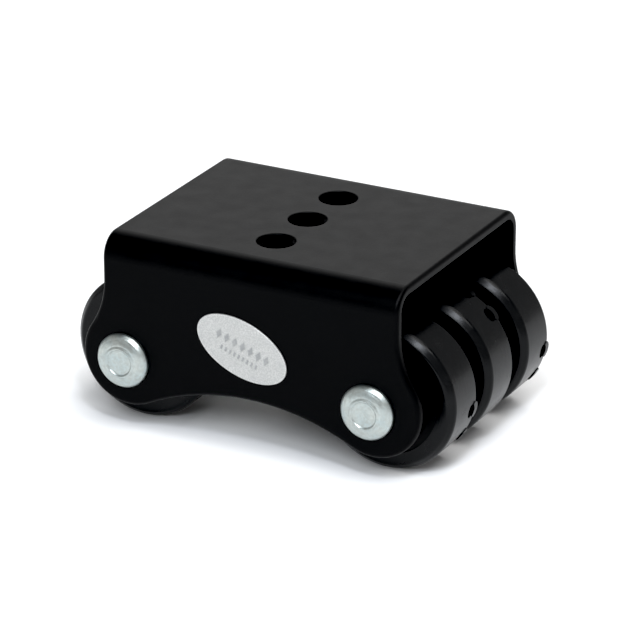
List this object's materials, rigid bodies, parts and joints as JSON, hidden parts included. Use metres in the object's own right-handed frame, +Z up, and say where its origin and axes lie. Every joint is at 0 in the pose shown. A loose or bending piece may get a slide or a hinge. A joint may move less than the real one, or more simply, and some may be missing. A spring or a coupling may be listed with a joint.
{
  "type": "twin-axle skid roller",
  "caption": "Rigid channel bracket with a bolt-down top plate, riveted axles at both ends and side-by-side black wheels that carry and guide a load rolling over it.",
  "frame": {"origin": "on the ground under the middle of the part: midway between the axles and midway across the channel", "axes": "+Z up, out of the mounting face; +Y along the axles, from the flange with the oval plate to the plain one; +X along the rolling direction"},
  "size_m": [0.1416, 0.096, 0.068],
  "materials": {
    "powder_coat": "satin black powder coat over pressed steel",
    "zinc": "bright zinc plate, faintly blue",
    "zinc_inner": "plain zinc plate",
    "plate_metal": "matt embossed aluminium",
    "tyre": "satin moulded elastomer",
    "core_plastic": "moulded black polypropylene"
  },
  "bodies": {
    "root": {"bracket": "powder_coat", "oval_plate": "plate_metal", "axle_rivet_left": "zinc", "axle_sleeve_left": "zinc_inner", "washer_left_1": "zinc_inner", "washer_left_2": "zinc_inner", "washer_left_3": "zinc_inner", "washer_left_4": "zinc_inner", "axle_rivet_right": "zinc", "axle_sleeve_right": "zinc_inner", "washer_right_1": "zinc_inner", "washer_right_2": "zinc_inner", "washer_right_3": "zinc_inner", "washer_right_4": "zinc_inner"},
    "wheel_left_front": {"tyre_left_front": "tyre", "wheel_core_left_front": "core_plastic"},
    "wheel_left_middle": {"tyre_left_middle": "tyre", "wheel_core_left_middle": "core_plastic"},
    "wheel_left_rear": {"tyre_left_rear": "tyre", "wheel_core_left_rear": "core_plastic"},
    "wheel_right_front": {"tyre_right_front": "tyre", "wheel_core_right_front": "core_plastic"},
    "wheel_right_middle": {"tyre_right_middle": "tyre", "wheel_core_right_middle": "core_plastic"},
    "wheel_right_rear": {"tyre_right_rear": "tyre", "wheel_core_right_rear": "core_plastic"}
  },
  "joints": [
    {"name": "spin_left_front", "type": "hinge", "parent": "root", "child": "wheel_left_front", "pos_m": [-0.0455, -0.02747, 0.025], "axis": [0, 1, 0], "continuous": true},
    {"name": "spin_left_middle", "type": "hinge", "parent": "root", "child": "wheel_left_middle", "pos_m": [-0.0455, 0, 0.025], "axis": [0, 1, 0], "continuous": true},
    {"name": "spin_left_rear", "type": "hinge", "parent": "root", "child": "wheel_left_rear", "pos_m": [-0.0455, 0.02747, 0.025], "axis": [0, 1, 0], "continuous": true},
    {"name": "spin_right_front", "type": "hinge", "parent": "root", "child": "wheel_right_front", "pos_m": [0.0455, -0.02747, 0.025], "axis": [0, 1, 0], "continuous": true},
    {"name": "spin_right_middle", "type": "hinge", "parent": "root", "child": "wheel_right_middle", "pos_m": [0.0455, 0, 0.025], "axis": [0, 1, 0], "continuous": true},
    {"name": "spin_right_rear", "type": "hinge", "parent": "root", "child": "wheel_right_rear", "pos_m": [0.0455, 0.02747, 0.025], "axis": [0, 1, 0], "continuous": true}
  ]
}
